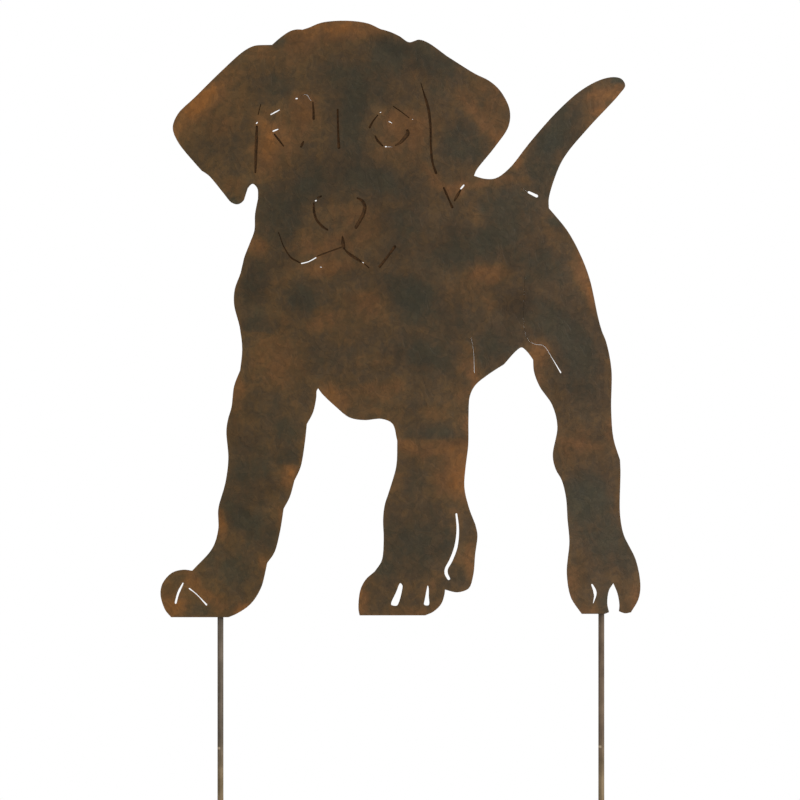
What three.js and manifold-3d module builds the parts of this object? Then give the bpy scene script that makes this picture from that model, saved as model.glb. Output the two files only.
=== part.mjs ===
// A garden figure of a standing puppy, cut from flat steel sheet and held up by two round steel stakes
// welded behind its outer paws. Lengths are millimetres. X runs to the viewer's right, Y away from the
// viewer through the sheet, and Z up. The origin lies midway between the stakes, at the middle of the
// sheet's thickness, on the level of the middle paw's sole, where the figure meets the ground.

import * as THREE from 'three';
import { mergeVertices } from 'three/addons/utils/BufferGeometryUtils.js';
import Module from 'manifold-3d';

const wasm = await Module();
wasm.setup();

// Driving sizes of the sheet and of the lines cut into it.
const figureHeight = 476.5;
const plateThickness = 2;
const grooveWidth = 1.9;
const grooveDepth = 1.2;
const slitWidth = 2.2;
const hairlineWidth = 0.2;
const glintWidth = 1.2;

// Driving sizes of the stakes. Their places are shares of the figure's height, because they stay behind
// the outer paws.
const stakeDiameter = 4.76;
const stakeLength = 254;
const stakeBehindSheet = 50;
const stakeEndChamfer = 0.5;
const leftStakePlace = -0.3199;
const rightStakePlace = 0.3199;

// Weld tacks, a pair beside each stake at each of these heights above the ground. They reach out from
// the corner between the stake's flank and the sheet, and stop weldGap short of the sheet.
const tackHeights = [7, 38];
const tackLength = 9;
const tackWidth = 2.8;
const tackReach = 2.6;
const weldGap = 0.3;

// Facets: the furthest that a chord leaves its curve, the sides of a stake and of a tack, and the steps
// in the half circle that ends a line.
const chordError = 0.07;
const stakeSides = 24;
const tackSides = 10;
const endSteps = 4;

// How far a cutting solid stands out of the sheet on the side where it enters or leaves.
const cutterMargin = 1;

const sheetColour = 0x54432f;
const stakeColour = 0x5b4e42;

// The outline, in thousandths of the figure's height, anticlockwise from the dip between the crown and
// the left ear. Each stretch is one smooth curve and starts where the one before ends; two stretches
// meet in a corner.
const outline = {
  leftEarRoot: [[-182, 981.5], [-191, 982], [-202, 979.3], [-218, 969], [-233, 956]],
  leftEar: [
    [-246, 955.8], [-262, 954.6], [-279, 946.5], [-320, 910], [-362, 868.5], [-391, 840], [-399.5, 817],
    [-391, 793.5], [-360, 755], [-351, 745],
  ],
  leftEarTip: [
    [-339, 736.7], [-315, 708], [-301, 691.6], [-290, 688.8], [-280, 696], [-274, 715], [-265.5, 723],
    [-257.5, 715], [-256.5, 698],
  ],
  leftCheek: [
    [-261.5, 672], [-262.5, 645], [-270, 624], [-280, 598], [-285.5, 574], [-295.5, 546], [-296.5, 520],
    [-287, 482], [-283, 445], [-286.5, 410],
  ],
  leftLegOuter: [
    [-296.5, 384], [-301, 348], [-306.8, 328], [-309.5, 308], [-306.2, 262], [-311.3, 221], [-323, 178],
    [-323.2, 143], [-333, 112], [-367, 74],
  ],
  leftPaw: [[-382, 75.7], [-401, 70.5], [-416.5, 53], [-420, 34], [-412, 8], [-402, -4]],
  leftSole: [[-306, -4]],
  leftHeel: [[-292, 2], [-269, 18], [-251.5, 45], [-241, 87]],
  leftShinInner: [[-229, 104.5], [-219.5, 140], [-213.5, 178]],
  leftKneeInner: [[-203, 198], [-195.5, 225]],
  leftForearmInner: [[-185, 248], [-178, 288], [-174.5, 320]],
  leftElbow: [[-164, 340], [-158.7, 365], [-158, 376], [-155.5, 380]],
  chest: [[-150, 372], [-126, 349], [-103, 331], [-78, 326.6], [-49, 328.6], [-31, 320.5], [-23, 292]],
  middleLegOuter: [
    [-24.5, 250], [-37, 206], [-44, 184], [-46.7, 160], [-45.7, 127], [-49, 91], [-61, 72.5],
  ],
  middlePaw: [[-76, 59], [-85, 41], [-88, 10], [-86, -0.9]],
  middleSole: [[24, -0.9]],
  middleToes: [[38, 5.5], [51, 18.5], [56.5, 35], [57.3, 42.3]],
  heelLobe: [[78, 37.8], [97, 44.5], [104.5, 66], [108, 103], [111.7, 134], [108, 152]],
  middleLegInner: [
    [97, 181], [89.8, 214], [92, 250], [96.3, 285], [96.7, 330], [99, 367], [108, 385], [131, 404],
    [156, 420],
  ],
  bellyArch: [[178, 444], [186, 448.5], [195, 441.5], [205, 428]],
  hindLegInner: [
    [206.5, 408], [216, 383], [237, 352], [245.8, 316], [238, 267], [243, 244], [253, 226], [260.3, 196],
    [262.7, 160], [265.9, 123], [261.5, 70], [268.5, 29], [286.5, 1.6],
  ],
  hindSole: [[325, 1.6]],
  hindInnerToe: [[332.4, 4.5]],
  toeNotchInner: [[329.4, 19.5], [332.2, 41], [339.5, 53]],
  toeNotchOuter: [[346.5, 36], [349.8, 17], [349, 6]],
  outerToeSole: [[359, 2.6], [369, 4.2]],
  hindPaw: [
    [381.5, 26], [385, 49], [377.5, 91.5], [357.5, 133], [352.5, 154], [350.4, 178], [351.6, 240],
    [350.8, 260],
  ],
  thigh: [
    [339.8, 296], [336, 345], [336.4, 412], [327.5, 458], [320, 477], [313.8, 500], [300, 563],
    [283.5, 606], [262, 645], [231.5, 682],
  ],
  tail: [
    [231.5, 699], [247.5, 749], [262, 774.5], [300, 819.5], [350, 873.5], [359.5, 888], [353, 899],
    [340, 902], [318, 897.5], [285, 879.5], [245, 844], [200, 793], [164, 748], [142, 732.3], [123, 731.6],
    [106, 736.5],
  ],
  rightEar: [
    [110, 746], [141, 785], [164, 820], [165.5, 848], [149.5, 879.5], [131, 896], [107, 908], [60, 937.5],
  ],
  rightEarRoot: [[30, 959], [14, 964.8], [-3, 960.5], [-19, 970.5], [-35, 978], [-51, 982.5]],
  crown: [[-72, 992], [-108, 996.6], [-150, 993.3], [-171, 985], [-182, 981.5]],
};

// Lines that stop inside the sheet and stay dark. Each path is in thousandths of the figure's height,
// and its widths are shares of grooveWidth, spread evenly from start to end.
const grooves = [
  { line: 'left ear, above its glint', widths: [0.25, 0.3, 0.3], path: [[-252, 856], [-256.5, 839]] },
  {
    line: 'left ear',
    widths: [0.85, 1.05, 1.3, 1.25, 1.2, 1.1, 0.7],
    path: [[-258.5, 819], [-259.7, 785], [-261, 742]],
  },
  {
    line: 'left eye, nose side',
    widths: [0.4, 0.9, 1],
    path: [[-164.5, 860], [-163.5, 845], [-163.3, 832]],
  },
  {
    line: 'left eye, outer lid',
    widths: [0.6, 0.75, 0.55],
    path: [[-229, 806], [-222, 797], [-214, 786.5]],
  },
  { line: 'left eye, lower lid', widths: [0.6, 1.05, 0.7], path: [[-180.5, 793.5], [-184.5, 785]] },
  { line: 'forehead', widths: [0.8, 0.85, 0.85, 0.9, 1.3], path: [[-123, 847], [-122.5, 820], [-121, 784]] },
  {
    line: 'right eye, nose side',
    widths: [0.4, 0.6, 0.85],
    path: [[-55.5, 838], [-63, 829], [-69.3, 817.5]],
  },
  {
    line: 'right eye, lower left',
    widths: [0.5, 1, 0.6],
    path: [[-60, 803], [-55.5, 794.5], [-47.5, 786.7]],
  },
  {
    line: 'right eye, lower right',
    widths: [0.55, 1.35, 1.6, 1.2],
    path: [[-26, 787.3], [-18, 792], [-10.5, 800], [-5.3, 807], [-5.8, 812]],
  },
  {
    line: 'right eye, upper lid',
    widths: [0.35, 0.42, 0.35, 0.28],
    path: [[-29.5, 852.7], [-17.5, 844.6], [-3, 833.4]],
  },
  {
    line: 'right ear',
    widths: [0.25, 0.5, 1.1, 1.1, 0.9, 0.8, 1.05, 0.8, 1.1],
    path: [[16.5, 892], [22.5, 872], [29.3, 848], [32.8, 818], [33.3, 785], [36.5, 757], [42, 741]],
  },
  {
    line: 'cheek below the ear, left arm',
    widths: [0.7, 0.9, 0.6, 1.1],
    path: [[55, 716], [62, 700], [69, 684]],
  },
  { line: 'cheek below the ear, right arm', widths: [0.75, 1.2, 0.6], path: [[73, 695], [83.5, 713]] },
  { line: 'nose, left notch', widths: [0.6, 0.6], path: [[-156.5, 699.5], [-150.5, 702]] },
  {
    line: 'nose, left side',
    widths: [0.75, 1, 0.95, 1, 0.7],
    path: [[-163, 690], [-162.8, 678], [-158.5, 663], [-149.5, 652], [-140, 645.8]],
  },
  {
    line: 'nose, right side',
    widths: [0.6, 1.2, 1.45, 1.5, 1.4],
    path: [[-90, 699], [-82.5, 694.8], [-77.5, 685], [-80, 672.5], [-92.3, 650]],
  },
  {
    line: 'left side of the mouth',
    widths: [0.35, 0.37, 0.42, 0.7, 0.55],
    path: [[-222, 641], [-213.5, 618], [-201, 599], [-187, 591]],
  },
  {
    line: 'upper lip, left of the middle',
    widths: [0.4, 0.6, 0.5, 0.55],
    path: [[-157, 601.5], [-143, 607], [-116, 616.5]],
  },
  {
    line: 'middle of the muzzle',
    widths: [0.6, 1.6, 1.2],
    path: [[-114.8, 634], [-114, 624], [-112.5, 615.5]],
  },
  {
    line: 'upper lip, right of the middle',
    widths: [0.45, 0.75, 1.3, 0.9],
    path: [[-112.5, 614.5], [-105, 606.5], [-84, 592.5]],
  },
  { line: 'right corner of the lips', widths: [0.3, 0.35, 0.4], path: [[-77.5, 588], [-70.5, 582]] },
  {
    line: 'right side of the mouth',
    widths: [1.1, 0.9, 1.1],
    path: [[-27, 617.5], [-38, 602.5], [-52.5, 584]],
  },
];

// Lines cut right through, wide enough to let light pass. Widths are shares of slitWidth.
const slits = [
  {
    line: 'left paw, outer toe',
    widths: [0.45, 0.8, 0.75, 0.7],
    path: [[-382.3, 53], [-390.3, 36.3], [-394.7, 20]],
  },
  {
    line: 'left paw, inner toe',
    widths: [0.5, 0.32, 0.33, 0.62],
    path: [[-371.5, 44], [-359.5, 34.5], [-343, 17]],
  },
  {
    line: 'middle leg',
    widths: [0.65, 0.9, 1.2, 1.2, 1.1, 1.2, 1],
    path: [[76.3, 169], [78.7, 143], [75.5, 114], [67, 91], [59.5, 77], [59.3, 69], [63.5, 60.5]],
  },
  {
    line: 'hind paw, inner toe',
    widths: [0.6, 1, 1.2, 0.7, 0.25],
    path: [[303.8, 50.5], [308, 41.5], [309.2, 33], [306, 20]],
  },
  { line: 'tail root', widths: [0.9, 1.1], path: [[198, 708.8], [211, 702.5]] },
];

// Narrow lines cut right through, which show only as a trace of light. Widths are shares of hairlineWidth.
const hairlines = [
  { line: 'belly', widths: [0.4, 0.5, 0.7, 1.2], path: [[101, 466], [105, 442], [106.5, 406]] },
  {
    line: 'hip',
    widths: [0.3, 0.3, 0.4, 0.6, 0.8, 0.9, 1.5, 5],
    path: [
      [191.5, 574], [188.8, 508], [190.5, 478], [198, 460], [208, 454], [222.5, 451.5], [236, 432],
      [251.3, 406.5],
    ],
  },
  { line: 'tail root', widths: [0.6, 0.9], path: [[185, 717], [196, 709]] },
  {
    line: 'left eye, inner corner',
    widths: [0.6, 1.2, 0.6],
    path: [[-184, 871.5], [-175, 872.5], [-168, 862]],
  },
  { line: 'right eye, under its glint', widths: [1.8, 0.6], path: [[-39, 785], [-30, 785]] },
];

// Short glints cut right through where the light passes freely. Widths are shares of glintWidth.
const glints = [
  { line: 'left ear', widths: [0.8], path: [[-259, 824.6], [-257.8, 826]] },
  { line: 'left eye, upper lid', widths: [0.7, 0.9, 0.6], path: [[-234.8, 839.4], [-220.8, 846.8]] },
  { line: 'left eye, inner corner', widths: [0.9], path: [[-192.6, 866], [-190.8, 866.2]] },
  { line: 'left eye, outer lid', widths: [0.9, 1, 0.6], path: [[-231, 811.4], [-223, 814.6]] },
  { line: 'right eye, nose side', widths: [0.5], path: [[-51.7, 842.7], [-50.5, 843]] },
  { line: 'right eye, lower lid', widths: [0.8], path: [[-42.8, 785.4], [-41.2, 785.4]] },
  { line: 'right eye, pupil', widths: [0.4, 0.55, 0.4], path: [[-37, 827.6], [-32, 825]] },
  { line: 'right eye, outer corner', widths: [0.35], path: [[2.3, 831.2], [3.3, 831]] },
  { line: 'nose, left notch', widths: [0.8], path: [[-160.2, 694.5], [-158.8, 695]] },
  {
    line: 'mouth, left',
    widths: [0.75, 0.65, 0.7],
    path: [[-183.5, 589.4], [-172, 592.3], [-159.5, 599]],
  },
  { line: 'mouth, right', widths: [0.4], path: [[-81, 591.4], [-79.3, 590.4]] },
  { line: 'lower lip', widths: [0.35], path: [[-152, 583.6], [-149.8, 583]] },
  { line: 'cheek below the ear', widths: [0.95, 1.15, 0.85], path: [[84, 715], [88.8, 720.8]] },
];

// Wedges cut right through between the toes of the middle paw, each a closed outline in thousandths.
const toeWedges = [
  [
    [-17.8, 53.2], [-25, 37.5], [-32.8, 20.8], [-33, 17], [-29.5, 15.4], [-23.4, 15.6], [-19.8, 22],
    [-15.2, 40], [-14.2, 49],
  ],
  [
    [28.3, 49.2], [25.6, 38], [23, 24], [22, 17.8], [24, 16], [29.4, 16], [30.8, 18.6], [30, 30],
    [29.8, 45],
  ],
];

const share = figureHeight / 1000;
const groundLevel = outline.middleSole[0][1];

// A point of the drawing in the flat sheet, with the middle paw's sole at no height.
function place([x, z]) {
  return new THREE.Vector3(x * share, (z - groundLevel) * share, 0);
}

// Parameters along the curve from one of its parameters to another, the first left out, so close together
// that no chord between their points is further from the curve than chordError.
function chords(curve, from, to) {
  const start = curve.getPoint(from);
  const end = curve.getPoint(to);
  const middle = (from + to) / 2;
  const sag = curve.getPoint(middle).distanceTo(start.lerp(end, 0.5));
  if (sag < chordError) {
    return [to];
  }
  return [...chords(curve, from, middle), ...chords(curve, middle, to)];
}

// Parameters along a whole curve of the given number of spans, from one of its points to the next.
function parameters(curve, spans) {
  const steps = [0];
  for (let span = 0; span < spans; span += 1) {
    steps.push(...chords(curve, span / spans, (span + 1) / spans));
  }
  return steps;
}

function smoothCurve(points, closed) {
  return new THREE.CatmullRomCurve3(points.map(place), closed, 'centripetal');
}

// One stretch of the outline as flat points, starting from the end of the stretch before.
function stretch(start, points) {
  const curve = smoothCurve([start, ...points], false);
  return parameters(curve, points.length).slice(1).map((t) => curve.getPoint(t));
}

function outlineShape() {
  const stretches = Object.values(outline);
  let start = stretches[stretches.length - 1].at(-1);
  const points = [];
  for (const given of stretches) {
    points.push(...stretch(start, given));
    start = given.at(-1);
  }
  return new THREE.Shape(points.map((p) => new THREE.Vector2(p.x, p.y)));
}

// The value at t, from 0 to 1, of a list spread evenly over that range.
function spread(values, t) {
  const last = values.length - 1;
  const low = Math.min(Math.floor(t * last), Math.max(last - 1, 0));
  const high = Math.min(low + 1, last);
  return THREE.MathUtils.lerp(values[low], values[high], t * last - low);
}

// A half circle of points around one end of a line, from its one side to the other.
function roundEnd(centre, heading, radius) {
  const points = [];
  for (let step = 1; step < endSteps; step += 1) {
    const angle = heading + Math.PI / 2 - (Math.PI * step) / endSteps;
    points.push(new THREE.Vector2(centre.x + radius * Math.cos(angle), centre.y + radius * Math.sin(angle)));
  }
  return points;
}

// The closed outline of one line: its path swept with its widths and rounded at both ends.
function lineShape({ path, widths }, fullWidth) {
  const curve = smoothCurve(path, false);
  const left = [];
  const right = [];
  const steps = parameters(curve, Math.max(path.length, widths.length) - 1);
  for (const t of steps) {
    const centre = curve.getPoint(t);
    const along = curve.getTangent(t);
    const half = (spread(widths, t) * fullWidth) / 2;
    left.push(new THREE.Vector2(centre.x - along.y * half, centre.y + along.x * half));
    right.push(new THREE.Vector2(centre.x + along.y * half, centre.y - along.x * half));
  }
  const first = curve.getTangent(0);
  const last = curve.getTangent(1);
  const startRadius = (spread(widths, 0) * fullWidth) / 2;
  const endRadius = (spread(widths, 1) * fullWidth) / 2;
  const endCap = roundEnd(curve.getPoint(1), Math.atan2(last.y, last.x), endRadius);
  const startCap = roundEnd(curve.getPoint(0), Math.atan2(-first.y, -first.x), startRadius);
  return new THREE.Shape([...left, ...endCap, ...right.reverse(), ...startCap]);
}

function wedgeShape(points) {
  const curve = smoothCurve(points, true);
  const steps = parameters(curve, points.length).slice(1);
  return new THREE.Shape(steps.map((t) => curve.getPoint(t)).map((p) => new THREE.Vector2(p.x, p.y)));
}

// A closed three.js mesh as a solid that can be cut and joined.
function toSolid(geometry) {
  const bare = geometry.clone();
  bare.deleteAttribute('normal');
  bare.deleteAttribute('uv');
  const merged = mergeVertices(bare);
  const corners = merged.index.array;
  const triangles = [];
  for (let i = 0; i < corners.length; i += 3) {
    const [a, b, c] = corners.slice(i, i + 3);
    if (a !== b && b !== c && c !== a) {
      triangles.push(a, b, c);
    }
  }
  return new wasm.Manifold(new wasm.Mesh({
    numProp: 3,
    vertProperties: new Float32Array(merged.attributes.position.array),
    triVerts: new Uint32Array(triangles),
  }));
}

function toGeometry(solid) {
  const { vertProperties, triVerts } = solid.getMesh();
  const geometry = new THREE.BufferGeometry();
  geometry.setAttribute('position', new THREE.BufferAttribute(new Float32Array(vertProperties), 3));
  geometry.setIndex(new THREE.BufferAttribute(new Uint32Array(triVerts), 1));
  geometry.computeVertexNormals();
  return geometry;
}

// A flat shape given a thickness, from one height over the sheet's middle plane to another.
function prism(shape, low, high) {
  const geometry = new THREE.ExtrudeGeometry(shape, { depth: high - low, bevelEnabled: false, steps: 1 });
  return toSolid(geometry.translate(0, 0, low));
}

// The cut sheet, lying flat with its front face up.
function sheetSolid() {
  const front = plateThickness / 2;
  const back = -front;
  let sheet = prism(outlineShape(), back, front);
  for (const groove of grooves) {
    const cutter = prism(lineShape(groove, grooveWidth), front - grooveDepth, front + cutterMargin);
    sheet = sheet.subtract(cutter);
  }
  const openings = [
    ...slits.map((line) => lineShape(line, slitWidth)),
    ...hairlines.map((line) => lineShape(line, hairlineWidth)),
    ...glints.map((line) => lineShape(line, glintWidth)),
    ...toeWedges.map(wedgeShape),
  ];
  for (const shape of openings) {
    sheet = sheet.subtract(prism(shape, back - cutterMargin, front + cutterMargin));
  }
  return sheet;
}

// One round stake, upright about its own axis, with both ends lightly chamfered.
function stakeBar() {
  const radius = stakeDiameter / 2;
  const top = stakeBehindSheet;
  const bottom = top - stakeLength;
  const profile = [
    [0, bottom],
    [radius - stakeEndChamfer, bottom],
    [radius, bottom + stakeEndChamfer],
    [radius, top - stakeEndChamfer],
    [radius - stakeEndChamfer, top],
    [0, top],
  ];
  const points = profile.map(([across, up]) => new THREE.Vector2(across, up));
  return new THREE.LatheGeometry(points, stakeSides).rotateX(Math.PI / 2);
}

// A stake with its weld tacks, lumps of weld metal cut off flat on the side towards the sheet.
function stakeSolid() {
  let solid = toSolid(stakeBar());
  const radius = stakeDiameter / 2;
  const sheetSide = -radius;
  for (const height of tackHeights) {
    for (const side of [-1, 1]) {
      const tack = new THREE.SphereGeometry(1, tackSides, tackSides / 2)
        .scale(tackWidth / 2, tackReach, tackLength / 2)
        .translate(side * radius, sheetSide, height);
      solid = solid.add(toSolid(tack));
    }
  }
  const spare = new THREE.BoxGeometry(stakeLength, stakeLength, 2 * stakeLength)
    .translate(0, sheetSide - stakeLength / 2, 0);
  return solid.subtract(toSolid(spare));
}

function sheetMesh() {
  const material = new THREE.MeshStandardMaterial({ color: sheetColour, roughness: 0.72, metalness: 0.55 });
  const mesh = new THREE.Mesh(toGeometry(sheetSolid()), material);
  mesh.name = 'dog_plate';
  mesh.rotation.x = Math.PI / 2;
  return mesh;
}

function stakeMesh(name, heightShare) {
  const material = new THREE.MeshStandardMaterial({ color: stakeColour, roughness: 0.6, metalness: 0.7 });
  const mesh = new THREE.Mesh(toGeometry(stakeSolid()), material);
  mesh.name = name;
  mesh.position.set(heightShare * figureHeight, plateThickness / 2 + weldGap + stakeDiameter / 2, 0);
  return mesh;
}

const group = new THREE.Group();
group.add(sheetMesh());
group.add(stakeMesh('left_stake', leftStakePlace));
group.add(stakeMesh('right_stake', rightStakePlace));

export default group;
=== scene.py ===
"""Looks of the puppy garden stake: a patinated steel sheet, cut out, on two round steel stakes."""

import math

import bmesh
import bpy
import numpy as np
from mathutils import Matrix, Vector, geometry, kdtree, noise
from mathutils.bvhtree import BVHTree


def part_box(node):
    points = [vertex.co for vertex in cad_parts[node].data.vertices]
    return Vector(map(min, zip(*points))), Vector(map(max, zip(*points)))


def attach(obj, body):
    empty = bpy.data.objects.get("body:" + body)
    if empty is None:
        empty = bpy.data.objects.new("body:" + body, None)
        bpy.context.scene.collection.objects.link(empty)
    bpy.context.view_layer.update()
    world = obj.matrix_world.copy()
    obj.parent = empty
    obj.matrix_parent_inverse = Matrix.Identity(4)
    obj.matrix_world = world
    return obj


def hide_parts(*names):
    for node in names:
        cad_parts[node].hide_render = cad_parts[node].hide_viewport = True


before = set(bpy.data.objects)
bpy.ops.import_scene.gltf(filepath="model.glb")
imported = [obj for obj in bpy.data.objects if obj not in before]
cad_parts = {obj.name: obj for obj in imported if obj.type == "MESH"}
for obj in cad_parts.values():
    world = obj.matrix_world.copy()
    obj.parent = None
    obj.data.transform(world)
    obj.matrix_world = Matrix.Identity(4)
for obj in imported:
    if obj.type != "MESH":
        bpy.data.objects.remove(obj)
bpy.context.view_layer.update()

MM = 0.001

# The figure is drawn in thousandths of its height, across from midway between the stakes and up from the
# ground, as its outline is.
SHEET_LOW, SHEET_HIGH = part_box("dog_plate")
UNIT = (SHEET_HIGH.z - SHEET_LOW.z) / 1000
FRONT = SHEET_LOW.y
BACK = SHEET_HIGH.y

# A face of the solid belongs to a side of the sheet when it faces that way and lies this near to it.
FACING = 0.9
ON_SIDE = 0.1 * MM

# How finely the sheet's sides are divided, and how far the grid stays off the cut edges, in its own steps.
FRONT_GRID = 1.5 * MM
BACK_GRID = 3.2 * MM
GRID_CLEAR = 0.5

# How far the cut edges are broken. Where the metal is narrow the break is halved, until no other edge comes
# nearer than this share of it.
EDGE_BREAK = 0.18 * MM
LEAST_BREAK = 0.01 * MM
BREAK_CLEAR = 0.8

# A corner has no break where its two edges double back, and a limited one where they nearly do.
DOUBLES_BACK = 0.3
LEAST_OPENING = 0.35

# How close together points along the cut edges stand, to measure from them for the break and the rust.
BREAK_STEP = 0.1 * MM
RUST_STEP = 0.5 * MM

# Corners as near as this are one corner.
WELD_DISTANCE = 0.001 * MM

# How a side is filled: triangles all over, holes too, and points this near, in millimetres, are one.
ALL_TRIANGLES = 0
SAME_POINT = 1e-5

# Whether a place has metal is felt from this far off its side.
PROBE = MM

# Where two faces meet more sharply than this, the shading shows an edge.
SHARP = math.radians(30)

# The sheet isn't quite flat. The wave fades out where the stakes are welded on.
WAVE_HEIGHT = 0.35 * MM
WAVE_LENGTH = 110 * MM
WAVE_SEED = 5.1
STILL_NEAR_STAKE = 30 * MM

# The patina's common tone: 0 is dark olive and 1 is orange rust.
COMMON_TONE = 0.40

# How far a patch's border wanders, over a longer and a shorter length, and how steeply the patch ends.
WANDER = 7
WANDER_LENGTH = 34
FINE_WANDER = 0.5 * WANDER
FINE_LENGTH = WANDER_LENGTH / 3
PATCH_FALL = 1.4

# What sets the wandering of tone, wipe marks and shade apart, the finer from the wider, and the way up from
# the way across.
TONE_SEED = 3.7
WIPE_SEED = 8.1
SHADE_SEED = 14.2
FINE_SEED = 9
CHANNEL_SEED = 40.5

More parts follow.
